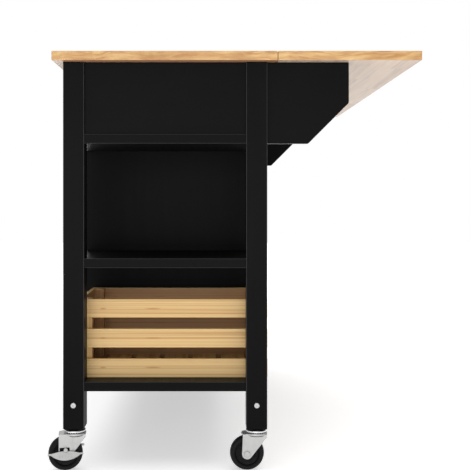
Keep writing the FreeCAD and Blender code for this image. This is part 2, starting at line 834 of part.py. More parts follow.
def cross_bolt(name):
    side_x, side_y = corners[name]
    start = vec(side_x * frame_x, side_y * leg_mid_y, cross_bolt_z)
    outward = vec(side_x, 0, 0)
    head = rod(cross_bolt_head_radius, start, outward, cross_bolt_head_height)
    head = eased(head, 1.6, lambda edge: abs(edge.CenterOfMass.x) > frame_x + 1)
    shank = rod(cross_bolt_radius, start, outward * -1, cross_bolt_length)
    angles = [math.radians(60 * corner) for corner in range(7)]
    mouth_x = side_x * (frame_x + cross_bolt_head_height - hex_depth)
    ring = [vec(mouth_x, start.y + hex_radius * math.cos(a), cross_bolt_z + hex_radius * math.sin(a))
            for a in angles]
    recess = Part.Face(Part.makePolygon(ring)).extrude(outward * (hex_depth + 1))
    return joined([head, shank]).cut(recess)


def frame_nodes():
    nodes = {
        "worktop": worktop(),
        "deck_board": notched_board(-board_x, board_x, deck_top, (-1, 1)),
        "bay_shelf": notched_board(partition_face, board_x, bay_shelf_top, (1,)),
        "base_board": notched_board(-board_x, board_x, base_top, (-1, 1)),
        "end_panel_open": end_panel(1),
        "end_panel_cabinet": end_panel(-1),
        "cabinet_side_panel": cabinet_side_panel(),
        "bay_partition": bay_partition(),
        "cabinet_shelf": cabinet_shelf(),
        "shelf_pins": shelf_pins(),
        "back_rail": back_rail(),
        "back_panel": back_panel(),
        "front_top_rail": front_top_rail(),
        "drawer_stile": drawer_stile(),
        "drawer_runners": drawer_runners(),
        "leaf_hinges_fixed": Part.makeCompound([leaf_hinges(False), leaf_hinge_pins()]),
        "bracket_hinges_fixed": bracket_hinge_fixed(),
        "door_hinges_fixed": door_hinges_fixed(),
    }
    for name, (side_x, side_y) in corners.items():
        nodes["leg_" + name] = leg(side_x, side_y)
    nodes["caster_stems"] = Part.makeCompound([under_leg(caster_stem(), name) for name in corners])
    nodes["caster_races"] = Part.makeCompound([under_leg(upper_race(), name) for name in corners])
    nodes["stem_sockets"] = Part.makeCompound([stem_socket(name) for name in corners])
    nodes["cross_bolts"] = Part.makeCompound([cross_bolt(name) for name in corners])
    return nodes


def leaf_nodes():
    nodes = {"leaf": leaf_board(), "leaf_hinge_leaves": leaf_hinges(True)}
    nodes["bracket_open"] = bracket()
    nodes["bracket_hinge_leaf_open"] = bracket_hinge(True)
    nodes["bracket_cabinet"] = mirrored_x(nodes["bracket_open"])
    nodes["bracket_hinge_leaf_cabinet"] = mirrored_x(nodes["bracket_hinge_leaf_open"])
    return nodes


def drawer_nodes():
    nodes = {}
    for name, side_x in (("open", 1), ("cabinet", -1)):
        x0, x1 = drawer_span(side_x)
        nodes["drawer_front_" + name] = drawer_front(side_x)
        nodes["drawer_walls_" + name] = drawer_walls(side_x)
        nodes["drawer_bottom_" + name] = drawer_bottom(side_x)
        nodes["drawer_knob_" + name] = knob((x0 + x1) / 2, (deck_top + rail_bottom) / 2)
    return nodes


def door_nodes():
    nodes = {}
    for name, at_cabinet_end in (("open", False), ("cabinet", True)):
        x0, x1 = door_span(at_cabinet_end)
        knob_x = x1 - knob_inset if at_cabinet_end else x0 + knob_inset
        nodes["door_" + name] = front_slab(x0, x1, door_bottom, door_top, door_rail)
        nodes["door_knob_" + name] = knob(knob_x, door_top - knob_drop)
        nodes["door_hinge_leaves_" + name] = door_hinge_leaves(at_cabinet_end)
    return nodes


def crate_nodes():
    return {
        "crate_side_slats": crate_side_slats(),
        "crate_end_slats": crate_end_slats(),
        "crate_posts": crate_posts(),
        "crate_floor": crate_floor(),
    }


def caster_nodes():
    nodes = {}
    for name in corners:
        fork = caster_fork(name in braked)
        nodes["caster_fork_" + name] = under_leg(Part.makeCompound([fork, axle_bolt()]), name)
        nodes["caster_wheel_" + name] = under_leg(caster_wheel(), name)
        if name in braked:
            nodes["brake_pedal_" + name] = under_leg(brake_pedal(), name)
    return nodes


def main():
    os.makedirs("parts", exist_ok=True)
    nodes = {}
    for made in (frame_nodes(), leaf_nodes(), drawer_nodes(), door_nodes(), crate_nodes(), caster_nodes()):
        nodes.update(made)
    for name, shape in nodes.items():
        shape.translate(vec(0, centreline_y, 0))
        shape.exportStep(os.path.join("parts", name + ".step"))
        print(name, len(shape.Solids), "solids", round(shape.Volume / 1000.0, 1), "cm3", shape.isValid())
    print(len(nodes), "nodes, centreline at y", centreline_y)
    return nodes


if __name__ == "__main__":
    main()
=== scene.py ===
import math
import bpy
import bmesh
from mathutils import Matrix, Vector


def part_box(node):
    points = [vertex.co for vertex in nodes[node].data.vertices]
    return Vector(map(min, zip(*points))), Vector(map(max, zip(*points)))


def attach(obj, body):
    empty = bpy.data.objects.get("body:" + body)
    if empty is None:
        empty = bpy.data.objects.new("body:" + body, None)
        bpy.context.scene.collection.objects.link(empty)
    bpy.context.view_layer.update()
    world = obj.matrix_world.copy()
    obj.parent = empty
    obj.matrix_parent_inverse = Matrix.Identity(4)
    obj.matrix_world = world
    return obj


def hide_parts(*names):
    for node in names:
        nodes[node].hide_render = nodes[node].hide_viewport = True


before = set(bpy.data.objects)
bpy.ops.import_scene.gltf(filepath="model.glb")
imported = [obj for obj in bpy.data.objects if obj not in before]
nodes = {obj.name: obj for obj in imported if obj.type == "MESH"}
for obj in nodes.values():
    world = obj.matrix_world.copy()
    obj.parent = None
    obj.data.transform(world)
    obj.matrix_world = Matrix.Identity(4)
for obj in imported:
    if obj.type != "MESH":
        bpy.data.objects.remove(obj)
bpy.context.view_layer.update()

cornerNames = ("front_open", "back_open", "front_cabinet", "back_cabinet")
brakedCorners = ("front_open", "front_cabinet")
endNames = ("open", "cabinet")
print("frame loaded:", len(nodes), "nodes")


# Shader building

def newMaterial(name, roughness=0.5, specular=0.5, metallic=0.0):
    material = bpy.data.materials.new(name)
    material.use_nodes = True
    shader = material.node_tree.nodes["Principled BSDF"]
    shader.inputs["Roughness"].default_value = roughness
    shader.inputs["Specular IOR Level"].default_value = specular
    shader.inputs["Metallic"].default_value = metallic
    return material, shader


def addNode(material, kind, inputs=None, **settings):
    node = material.node_tree.nodes.new(kind)
    for key, value in settings.items():
        setattr(node, key, value)
    for key, value in (inputs or {}).items():
        if isinstance(value, bpy.types.NodeSocket):
            material.node_tree.links.new(value, node.inputs[key])
        else:
            node.inputs[key].default_value = value
    return node


def mathNode(material, operation, first, second=0.0):
    return addNode(material, "ShaderNodeMath", {0: first, 1: second}, operation=operation).outputs[0]


def product(material, first, second):
    return mathNode(material, "MULTIPLY", first, second)


def vectorNode(material, operation, first, second=(0, 0, 0)):
    return addNode(material, "ShaderNodeVectorMath", {0: first, 1: second}, operation=operation)


def colorMix(material, factor, first, second):
    mix = addNode(material, "ShaderNodeMix", data_type="RGBA")
    links = material.node_tree.links
    for socket, value in ((mix.inputs[0], factor), (mix.inputs[6], first), (mix.inputs[7], second)):
        if isinstance(value, bpy.types.NodeSocket):
            links.new(value, socket)
        elif socket == mix.inputs[0]:
            socket.default_value = value
        else:
            socket.default_value = (*value, 1)
    return mix.outputs[2]


def coordinate(material, kind="Object"):
    return addNode(material, "ShaderNodeTexCoord").outputs[kind]


def split(material, vector):
    return addNode(material, "ShaderNodeSeparateXYZ", {0: vector}).outputs


def scaled(material, at, scale):
    return addNode(material, "ShaderNodeMapping", {"Vector": at, "Scale": scale}).outputs[0]


def stretched(material, scale):
    return scaled(material, coordinate(material), scale)


def noise(material, at, detail, scale=1.0, roughness=0.5, distortion=0.0):
    return addNode(material, "ShaderNodeTexNoise", {
        "Vector": at, "Scale": scale, "Detail": detail, "Roughness": roughness,
        "Distortion": distortion}).outputs[0]


def mapped(material, value, low, high, start=0.0, end=1.0):
    return addNode(material, "ShaderNodeMapRange", {
        "Value": value, "From Min": low, "From Max": high, "To Min": start, "To Max": end}).outputs[0]


def ramp(material, factor, stops):
    node = addNode(material, "ShaderNodeValToRGB", {"Fac": factor})
    elements = node.color_ramp.elements
    while len(elements) < len(stops):
        elements.new(0.5)
    for element, (position, color) in zip(elements, stops):
        element.position = position
        element.color = (*color, 1)
    return node.outputs["Color"]


def colored(material, shader, color):
    material.node_tree.links.new(color, shader.inputs["Base Color"])


def roughened(material, shader, value, span):
    rough = mapped(material, value, 0.0, 1.0, *span)
    material.node_tree.links.new(rough, shader.inputs["Roughness"])


def bumped(material, shader, height, distance):
    bump = addNode(material, "ShaderNodeBump", {"Height": height, "Distance": distance, "Strength": 1.0})
    material.node_tree.links.new(bump.outputs[0], shader.inputs["Normal"])


# Black lacquer over close-grained wood, with the grain just showing, and a painted highlight on the eased
# edges

lacquer = {
    "dark": (0.0034, 0.0034, 0.0035),
    "light": (0.0052, 0.0052, 0.0053),
    # painted highlight colour for the eased edges
    "edge": (0.052, 0.052, 0.053),
    "roughness": (0.32, 0.44),
    "specular": 0.04,
    "grainScale": {"X": (3, 90, 90), "Y": (90, 3, 90), "Z": (90, 90, 3)},
    "cloudScale": (6, 6, 6),
    "peelScale": (420, 420, 420),
    "peelShare": 0.25,
    "depth": 0.00012,
    "flatSpan": (0.90, 0.97),
    "levelLimit": 0.3,
}


def edgeHighlightMask(material, uprightOnly):
    # 1 on the narrow eased edges, which face between two axes; these get the painted highlight
    normal = split(material, coordinate(material, "Normal"))
    parts = [mathNode(material, "ABSOLUTE", part) for part in normal]
    largest = mathNode(material, "MAXIMUM", mathNode(material, "MAXIMUM", parts[0], parts[1]), parts[2])
    mask = mapped(material, largest, *lacquer["flatSpan"], 1.0, 0.0)
    if uprightOnly:
        mask = product(material, mask, mathNode(material, "LESS_THAN", parts[2], lacquer["levelLimit"]))
    return mask


def blackLacquer(axis, edges=True):
    material, shader = newMaterial("blackLacquer" + axis, specular=lacquer["specular"])
    grain = noise(material, stretched(material, lacquer["grainScale"][axis]), 5.0)
    cloud = noise(material, stretched(material, lacquer["cloudScale"]), 2.0)
    color = colorMix(material, cloud, lacquer["dark"], lacquer["light"])
    # paint a highlight on the eased edges
    if edges:
        color = colorMix(material, edgeHighlightMask(material, axis == "Z"), color, lacquer["edge"])
    colored(material, shader, color)
    roughened(material, shader, grain, lacquer["roughness"])
    peel = noise(material, stretched(material, lacquer["peelScale"]), 1.0)
    height = mathNode(material, "ADD", grain, product(material, peel, lacquer["peelShare"]))
    bumped(material, shader, height, lacquer["depth"])
    return material


# Oiled hardwood: staves glued side by side, each made of shorter lengths

hardwood = {
    "specular": 0.4,
    "roughness": (0.38, 0.52),
    "depth": 0.00018,
    "staveWidth": 0.043,
    "blockLength": 0.34,
    "blockShift": 7.0,
    "tones": [(0.0, (0.43, 0.24, 0.095)), (0.3, (0.54, 0.32, 0.13)), (0.65, (0.63, 0.395, 0.165)),
              (1.0, (0.70, 0.475, 0.215))],
    "toneShift": (3, 0.2, 0.2),
    "faceScale": (2.2, 55, 55),
    "endScale": (40, 15, 150),
    "waveScale": (1, 7, 1),
    "waveHeight": 0.05,
    "cloudScale": (9, 16, 60),
    "cloudSpan": (0.3, 0.7),
    "fineScale": 4.0,
    "seamSpan": (0.487, 0.5),
    "streakDepth": 0.5,
    "facing": 0.7,
}
hardwoodStreaks = {  # colour, span of the noise that shows it, and how strongly it shows
    "face": ((0.40, 0.19, 0.075), (0.5, 0.72), 0.62),
    "fine": ((0.40, 0.19, 0.075), (0.45, 0.8), 0.3),
    "end": ((0.40, 0.165, 0.045), (0.44, 0.64), 0.6),
    "under": ((0.30, 0.20, 0.155), (0.42, 0.68), 0.7),
}
# shadeColor and shadeShare paint shade on the underside between the legs
underside = {"color": (0.53, 0.405, 0.305), "shadeColor": (0.30, 0.13, 0.055), "shadeShare": 0.85}


def streaked(material, body, value, kind, mask=1.0):
    color, span, share = hardwoodStreaks[kind]
    shown = product(material, product(material, mapped(material, value, *span), share), mask)
    return colorMix(material, shown, body, color)


def staveTone(material, position):
    # a stave's own number, then a length's own number along it
    stave = mathNode(material, "FLOOR", mathNode(material, "DIVIDE", position[1], hardwood["staveWidth"]))
    random = addNode(material, "ShaderNodeTexWhiteNoise", {"W": stave}, noise_dimensions="1D")
    along = mathNode(material, "DIVIDE", position[0], hardwood["blockLength"])
    shift = product(material, random.outputs["Value"], hardwood["blockShift"])
    started = mathNode(material, "ADD", along, shift)
    block = mathNode(material, "FLOOR", started)
    identity = addNode(material, "ShaderNodeCombineXYZ", {0: stave, 1: block}).outputs[0]
    return addNode(material, "ShaderNodeTexWhiteNoise", {"Vector": identity}, noise_dimensions="3D")


def faceGrain(material, toneColor):
    shift = vectorNode(material, "MULTIPLY", toneColor, hardwood["toneShift"]).outputs[0]
    moved = vectorNode(material, "ADD", coordinate(material), shift).outputs[0]
    return scaled(material, moved, hardwood["faceScale"])


def endGrain(material, position):
    # on the ends the grain wanders up and down through the thickness
    wave = noise(material, stretched(material, hardwood["waveScale"]), 2.0)
    lifted = mathNode(material, "ADD", position[2], product(material, wave, hardwood["waveHeight"]))
    waving = addNode(material, "ShaderNodeCombineXYZ", {0: position[0], 1: position[1], 2: lifted})
    return scaled(material, waving.outputs[0], hardwood["endScale"])


def bareUnderside(material, position, streaks):
    # unfinished, paler and greyer, with painted shade from the front legs back to the seam
    bare = streaked(material, underside["color"], streaks, "under")
    behindFront = mathNode(material, "GREATER_THAN", position[1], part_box("leg_front_open")[0].y)
    beforeSeam = mathNode(material, "LESS_THAN", position[1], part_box("worktop")[1].y)
    shaded = product(material, product(material, behindFront, beforeSeam), underside["shadeShare"])
    return colorMix(material, shaded, bare, underside["shadeColor"])


def oiledHardwood():
    material, shader = newMaterial("oiledHardwood", specular=hardwood["specular"])
    position = split(material, coordinate(material))
    normal = split(material, coordinate(material, "Normal"))
    sideways = mathNode(material, "ABSOLUTE", normal[0])
    onEnd = mathNode(material, "GREATER_THAN", sideways, hardwood["facing"])
    facingDown = mathNode(material, "LESS_THAN", normal[2], -hardwood["facing"])
    # the grain runs along the cart on the faces, and across on the two ends
    tone = staveTone(material, position)
    grainAt = addNode(material, "ShaderNodeMix", {
        0: onEnd, 4: faceGrain(material, tone.outputs["Color"]), 5: endGrain(material, position)},
        data_type="VECTOR").outputs[1]
    streaks = noise(material, grainAt, 6.0, roughness=0.62, distortion=0.6)
    fine = noise(material, grainAt, 3.0, hardwood["fineScale"], roughness=0.6)
    # the ends show no separate staves, only slow changes of tone
    cloud = noise(material, stretched(material, hardwood["cloudScale"]), 3.0)
    cloud = mapped(material, cloud, *hardwood["cloudSpan"])
    onFace = mathNode(material, "SUBTRACT", 1.0, onEnd)
    toneHere = mathNode(material, "ADD", product(material, tone.outputs["Value"], onFace),
                        product(material, cloud, onEnd))
    body = ramp(material, toneHere, hardwood["tones"])
    body = streaked(material, body, streaks, "face")
    body = streaked(material, body, streaks, "end", onEnd)
    body = streaked(material, body, fine, "fine")
    bare = bareUnderside(material, position, streaks)
    colored(material, shader, colorMix(material, facingDown, body, bare))
    roughened(material, shader, fine, hardwood["roughness"])
    # a fine V between staves
    across = mathNode(material, "FRACT", mathNode(material, "DIVIDE", position[1], hardwood["staveWidth"]))
    fromMiddle = mathNode(material, "ABSOLUTE", mathNode(material, "SUBTRACT", across, 0.5))
    seam = mapped(material, fromMiddle, *hardwood["seamSpan"])
    height = mathNode(material, "SUBTRACT", product(material, streaks, hardwood["streakDepth"]), seam)
    bumped(material, shader, height, hardwood["depth"])
    return material


# Lacquered pine: straight close rings, two long knots on every slat, and painted shade on the crate's
# inside faces

pine = {
    "light": (0.74, 0.53, 0.245),
    "mid": (0.62, 0.395, 0.15),
    "line": (0.44, 0.22, 0.06),
    "specular": 0.4,
    "roughness": (0.36, 0.5),
    "depth": 0.00012,
    "broadScale": 0.35,
    "hairScale": 4.5,
    "ringSpan": (0.46, 0.64),
    "ringShare": 0.8,
    "hairSpan": (0.5, 0.8),
    "hairShare": 0.28,
}
knot = {
    "color": (0.42, 0.19, 0.05),
    "share": 0.7,
    "places": [(-0.2852, 0.0065), (-0.176, 0.0165)],  # middle along the slat, and half the length
    "halfHeight": 0.0019,
    "height": 0.3450,
    "pitch": 0.0649,
    "pitchesDown": 8.5,
    "span": (0.1, 1.6),
}
# painted shade on the crate's inside faces
crateInsideShade = {"color": (0.33, 0.14, 0.055), "share": 0.7, "facing": -0.02, "levelLimit": 0.5}


def knotMask(material):
    # how far inside each knot's ellipse, repeated up the slats at one pitch
    pitch = knot["pitch"]
    place = split(material, coordinate(material))
    lowest = knot["height"] - pitch * knot["pitchesDown"]
    up = mathNode(material, "MODULO", mathNode(material, "SUBTRACT", place[2], lowest), pitch)
    up = mathNode(material, "DIVIDE", mathNode(material, "SUBTRACT", up, pitch / 2), knot["halfHeight"])
    masks = []
    for middle, halfLength in knot["places"]:
        along = mathNode(material, "SUBTRACT", place[1], middle)
        along = mathNode(material, "DIVIDE", along, halfLength)
        squares = mathNode(material, "ADD", product(material, along, along), product(material, up, up))
        masks.append(mapped(material, squares, *knot["span"], 1.0, 0.0))
    return mathNode(material, "MAXIMUM", *masks)


def insideShadeMask(material):
    # 1 on the faces turned towards the crate's middle, which get painted shade
    low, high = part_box("crate_floor")
    middle = ((low.x + high.x) / 2, (low.y + high.y) / 2, 0)
    normal = coordinate(material, "Normal")
    outward = vectorNode(material, "SUBTRACT", coordinate(material), middle).outputs[0]
    facing = vectorNode(material, "DOT_PRODUCT", outward, normal).outputs["Value"]
    level = mathNode(material, "ABSOLUTE", split(material, normal)[2])
    upright = mathNode(material, "LESS_THAN", level, crateInsideShade["levelLimit"])
    return product(material, mathNode(material, "LESS_THAN", facing, crateInsideShade["facing"]), upright)


def lacqueredPine(name, scale, knots=False, inside=False):
    material, shader = newMaterial(name, specular=pine["specular"])
    at = stretched(material, scale)
    broad = noise(material, at, 2.0, pine["broadScale"])
    rings = noise(material, at, 5.0, roughness=0.55, distortion=0.15)
    hair = noise(material, at, 2.0, pine["hairScale"], roughness=0.6)
    body = colorMix(material, broad, pine["light"], pine["mid"])
    for value, kind in ((rings, "ring"), (hair, "hair")):
        shown = product(material, mapped(material, value, *pine[kind + "Span"]), pine[kind + "Share"])
        body = colorMix(material, shown, body, pine["line"])
    if knots:
        body = colorMix(material, product(material, knotMask(material), knot["share"]), body, knot["color"])
    # paint shade on the faces turned inwards
    if inside:
        shown = product(material, insideShadeMask(material), crateInsideShade["share"])
        body = colorMix(material, shown, body, crateInsideShade["color"])
    colored(material, shader, body)
    roughened(material, shader, hair, pine["roughness"])
    bumped(material, shader, rings, pine["depth"])
    return material


# Metals, plastic and rubber

mottle = {"scale": (120, 120, 120), "darker": 0.8, "depth": 0.00002}


def mottled(name, color, roughness, metallic=1.0, specular=0.5):
    material, shader = newMaterial(name, specular=specular, metallic=metallic)
    patches = noise(material, stretched(material, mottle["scale"]), 4.0)
    darker = tuple(mottle["darker"] * part for part in color)
    colored(material, shader, colorMix(material, patches, darker, color))
    roughened(material, shader, patches, roughness)
    bumped(material, shader, patches, mottle["depth"])
    return material


blackX = blackLacquer("X")
blackY = blackLacquer("Y")
blackZ = blackLacquer("Z")
# the same lacquer without the painted edge highlight
plainBlack = blackLacquer("Y", edges=False)
topWood = oiledHardwood()
slatPineY = lacqueredPine("slatPineY", (70, 0.8, 230), knots=True, inside=True)
slatPineX = lacqueredPine("slatPineX", (0.8, 70, 230), inside=True)
postPine = lacqueredPine("postPine", (120, 120, 3), inside=True)
wallPine = lacqueredPine("wallPine", (1.5, 1.5, 120))
panelPine = lacqueredPine("panelPine", (1.5, 60, 90))
zincSteel = mottled("zincSteel", (0.50, 0.50, 0.495), (0.34, 0.48))
brightChrome = mottled("brightChrome", (0.80, 0.80, 0.81), (0.08, 0.16))
blackSteel = mottled("blackSteel", (0.035, 0.035, 0.036), (0.42, 0.57), metallic=0.6)
blackRubber = mottled("blackRubber", (0.0075, 0.0075, 0.008), (0.5, 0.65), metallic=0.0, specular=0.12)
corePlastic = mottled("corePlastic", (0.003, 0.003, 0.0032), (0.36, 0.48), metallic=0.0, specular=0.12)
# near-black; on the swivel ring and stem collars it stands in for painted shade
darkGreaseAndShade = mottled("darkGreaseAndShade", (0.003, 0.003, 0.003), (0.5, 0.7), metallic=0.0, specular=0.1)

coats = [
    (topWood, ["worktop", "leaf"]),
    (blackX, ["deck_board", "bay_shelf", "base_board", "cabinet_shelf", "back_rail", "back_panel",
              "front_top_rail"] + ["drawer_front_" + end for end in endNames]),
    (blackY, ["end_panel_" + end for end in endNames]),
    (blackZ, ["bay_partition", "cabinet_side_panel", "drawer_stile"]
     + ["leg_" + corner for corner in cornerNames] + ["door_" + end for end in endNames]),
    (plainBlack, ["bracket_" + end for end in endNames]),
    (slatPineY, ["crate_side_slats"]),
    (slatPineX, ["crate_end_slats", "crate_floor"]),
    (postPine, ["crate_posts"]),
    (wallPine, ["drawer_runners"] + ["drawer_walls_" + end for end in endNames]),
    (panelPine, ["drawer_bottom_" + end for end in endNames]),
    (blackSteel, ["leaf_hinges_fixed", "leaf_hinge_leaves", "bracket_hinges_fixed", "door_hinges_fixed"]
     + [kind + end for kind in ("drawer_knob_", "door_knob_", "bracket_hinge_leaf_", "door_hinge_leaves_")
        for end in endNames]),
    (zincSteel, ["shelf_pins", "stem_sockets", "cross_bolts"]
     + ["caster_fork_" + corner for corner in cornerNames]
     + ["brake_pedal_" + corner for corner in brakedCorners]),
    (brightChrome, ["caster_stems", "caster_races"]),
]
for material, names in coats:
    for name in names:
        nodes[name].data.materials.clear()
        nodes[name].data.materials.append(material)
print("materials made")


# Mesh helpers

def keepMesh(mesh, name, materials, body, smoothAngle=35):
    bmesh.ops.remove_doubles(mesh, verts=mesh.verts, dist=1e-6)
    bmesh.ops.recalc_face_normals(mesh, faces=mesh.faces)
    data = bpy.data.meshes.new(name)
    mesh.to_mesh(data)
    mesh.free()
    for material in materials:
        data.materials.append(material)
    data.polygons.foreach_set("use_smooth", [True] * len(data.polygons))
    data.set_sharp_from_angle(angle=math.radians(smoothAngle))
    piece = bpy.data.objects.new(name, data)
    bpy.context.scene.collection.objects.link(piece)
    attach(piece, body)
    return piece


def addLathe(mesh, profile, place, steps=64, materialIndex=0):
    # the profile is a closed loop of (radius, height) pairs, turned about the place's own Z
    ring = [mesh.verts.new((radius, 0, height)) for radius, height in profile]
    edges = [mesh.edges.new(pair) for pair in zip(ring, ring[1:] + ring[:1])]
    before = set(mesh.faces)
    spun = set(mesh.verts)
    bmesh.ops.spin(mesh, geom=ring + edges, cent=(0, 0, 0), axis=(0, 0, 1), angle=2 * math.pi,
                   steps=steps, use_merge=True, use_duplicate=False)
    verts = [vert for vert in mesh.verts if vert not in spun] + ring
    bmesh.ops.remove_doubles(mesh, verts=verts, dist=1e-6)
    faces = [face for face in mesh.faces if face not in before]
    for face in faces:
        face.material_index = materialIndex
    bmesh.ops.transform(mesh, matrix=place, verts=list({vert for face in faces for vert in face.verts}))


def addBar(mesh, size, place, bevel, materialIndex=0):
    made = bmesh.ops.create_cube(mesh, size=1.0, matrix=Matrix.Diagonal((*size, 1)))
    edges = list({edge for vert in made["verts"] for edge in vert.link_edges})
    beveled = bmesh.ops.bevel(mesh, geom=edges, offset=bevel, offset_type="OFFSET", segments=2,
                              profile=0.5, affect="EDGES", material=-1)
    verts = list({vert for face in beveled["faces"] for vert in face.verts}
                 | {vert for vert in made["verts"] if vert.is_valid})
    for face in {face for vert in verts for face in vert.link_faces}:
        face.material_index = materialIndex
    bmesh.ops.transform(mesh, matrix=place, verts=verts)


def screwPlace(point, normal, turn=0.0):
    turned = Vector(normal).to_track_quat("Z", "Y").to_matrix().to_4x4()
    return Matrix.Translation(point) @ turned @ Matrix.Rotation(turn, 4, "Z")


# Casters: where each one stands, and how far it is turned about its stem

caster = {
    "turns": {"front_open": 10.0, "back_open": 0.0, "front_cabinet": 180.0, "back_cabinet": 0.0},
    "trail": 0.0203,
    "axleHeight": 0.037,
}


def casterPlace(name):
    low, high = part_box("leg_" + name)
    middle = ((low.x + high.x) / 2, (low.y + high.y) / 2, 0)
    return Matrix.Translation(middle) @ Matrix.Rotation(math.radians(caster["turns"][name]), 4, "Z")


def axlePlace(name):
    axle = Matrix.Translation((0, -caster["trail"], caster["axleHeight"]))
    return casterPlace(name) @ axle @ Matrix.Rotation(math.radians(90), 4, "Y")


# Wheels: a hard rubber tread on a moulded core with ribs

wheel = {
    "tread": [(0.0274, 0.0112), (0.0280, 0.0120), (0.0332, 0.0120), (0.0343, 0.0112), (0.0353, 0.0094),
              (0.0361, 0.0070), (0.0367, 0.0038), (0.0370, 0.0)],
    "core": [(0.00405, 0.0130), (0.0093, 0.0130), (0.0099, 0.0124), (0.0104, 0.0098), (0.0114, 0.0082),
             (0.0130, 0.0078), (0.0232, 0.0078), (0.0246, 0.0084), (0.0252, 0.0104), (0.0260, 0.0112),
             (0.0270, 0.0112), (0.0273, 0.0108)],
    "ribs": 8,
    "ribSize": (0.0128, 0.0016, 0.0176),
    "ribRadius": 0.0175,
    "bevel": 0.0003,
}


def bothSides(profile):
    return profile + [(radius, -height) for radius, height in reversed(profile) if height > 0]


def addWheel(name):
    mesh = bmesh.new()
    place = axlePlace(name)
    addLathe(mesh, bothSides(wheel["tread"]), place, steps=96)
    addLathe(mesh, bothSides(wheel["core"]), place, steps=96, materialIndex=1)
    for index in range(wheel["ribs"]):
        turn = Matrix.Rotation(2 * math.pi * (index + 0.5) / wheel["ribs"], 4, "Z")
        addBar(mesh, wheel["ribSize"], place @ turn @ Matrix.Translation((wheel["ribRadius"], 0, 0)),
               wheel["bevel"], materialIndex=1)
    piece = keepMesh(mesh, "wheel_" + name, [blackRubber, corePlastic], "wheel_" + name)
    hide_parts("caster_wheel_" + name)


# Swivel heads: a near-black ring under the lower race that stands in for the shade below it, and balls
# between the races

swivel = {
    # the ring's near-black is painted shade below the lower race
    "ring": [(0.0165, 0.0750), (0.0205, 0.0750), (0.0222, 0.0762), (0.0226, 0.07745), (0.0165, 0.07745)],
    "cage": [(0.0150, 0.08205), (0.0206, 0.08205), (0.0206, 0.08425), (0.0150, 0.08425)],
    "balls": 26,
    "ballRadius": 0.00105,
    "ballCircle": 0.0213,
    "ballHeight": 0.08315,
}


def addSwivelHead(name):
    mesh = bmesh.new()
    place = casterPlace(name)
    addLathe(mesh, swivel["ring"], place, steps=72)
    addLathe(mesh, swivel["cage"], place, steps=72)
    for index in range(swivel["balls"]):
        around = Matrix.Rotation(2 * math.pi * index / swivel["balls"], 4, "Z")
        spot = place @ around @ Matrix.Translation((swivel["ballCircle"], 0, swivel["ballHeight"]))
        made = bmesh.ops.create_icosphere(mesh, subdivisions=2, radius=swivel["ballRadius"], matrix=spot)
        for face in {face for vert in made["verts"] for face in vert.link_faces}:
            face.material_index = 1
    keepMesh(mesh, "swivel_head_" + name, [darkGreaseAndShade, brightChrome], "swivel_" + name)


# Stem collars: a black washer that fills the gap under each leg, around the stem; its black also stands in
# for the shade under the leg

stemCollar = {
    "profile": [(0.0068, 0.08785), (0.0185, 0.08785), (0.0185, 0.0890), (0.0178, 0.0898),
                (0.0068, 0.0898)],
}


def addStemCollar(name):
    mesh = bmesh.new()
    addLathe(mesh, stemCollar["profile"], casterPlace(name), steps=72)
    keepMesh(mesh, "stem_collar_" + name, [darkGreaseAndShade], "frame")


# Brakes: a ribbed dark block in the fork plate's opening, and grip bars across the pedal

brake = {
    "blockSize": (0.0019, 0.0208, 0.0076),
    "blockMiddle": (0.01705, -0.0020, 0.0118),
    "blockRibs": 7,
    "ribSize": (0.0009, 0.0010, 0.0066),
    "pedalTilt": 48.0,
    "pedalStart": (0.0205, 0.0085),
    "gripBars": 5,
    "gripSize": (0.0085, 0.0013, 0.0010),
    "gripSpacing": 0.0062,
    "gripAcross": 0.0098,
    "gripHeight": 0.0013,
    "bevel": 0.0003,
}


def addBrake(name):
    axle = casterPlace(name) @ Matrix.Translation((0, -caster["trail"], caster["axleHeight"]))
    mesh = bmesh.new()
    middle = Vector(brake["blockMiddle"])
    addBar(mesh, brake["blockSize"], axle @ Matrix.Translation(middle), brake["bevel"])
    pitch = brake["blockSize"][1] / (brake["blockRibs"] + 1)
    for index in range(brake["blockRibs"]):
        across = (index + 1) * pitch - brake["blockSize"][1] / 2
        spot = middle + Vector((brake["blockSize"][0] / 2, across, 0))
        addBar(mesh, brake["ribSize"], axle @ Matrix.Translation(spot), brake["bevel"])
    keepMesh(mesh, "brake_block_" + name, [darkGreaseAndShade], "swivel_" + name)
    mesh = bmesh.new()
    startX, startZ = brake["pedalStart"]
    tilt = Matrix.Rotation(math.radians(brake["pedalTilt"]), 4, "Y")
    pedal = axle @ Matrix.Translation((startX, 0, startZ)) @ tilt
    for index in range(brake["gripBars"]):
        along = (index - (brake["gripBars"] - 1) / 2) * brake["gripSpacing"]
        spot = (brake["gripAcross"], along, brake["gripHeight"])
        addBar(mesh, brake["gripSize"], pedal @ Matrix.Translation(spot), brake["bevel"])
    keepMesh(mesh, "pedal_grips_" + name, [zincSteel], "brake_" + name)


for name in cornerNames:
    addWheel(name)
    addSwivelHead(name)
    addStemCollar(name)
for name in brakedCorners:
    addBrake(name)
print("casters made")


# Hinge screws: countersunk heads with a cross cut into them

screw = {
    "radius": 0.0026,
    "proud": 0.00035,
    "topShare": 0.86,
    "coneShare": 0.6,
    "coneDepth": 0.0012,
    "crossLong": 0.0017,
    "crossWide": 0.00042,
    "crossDepth": 0.0009,
    "sides": 24,
}


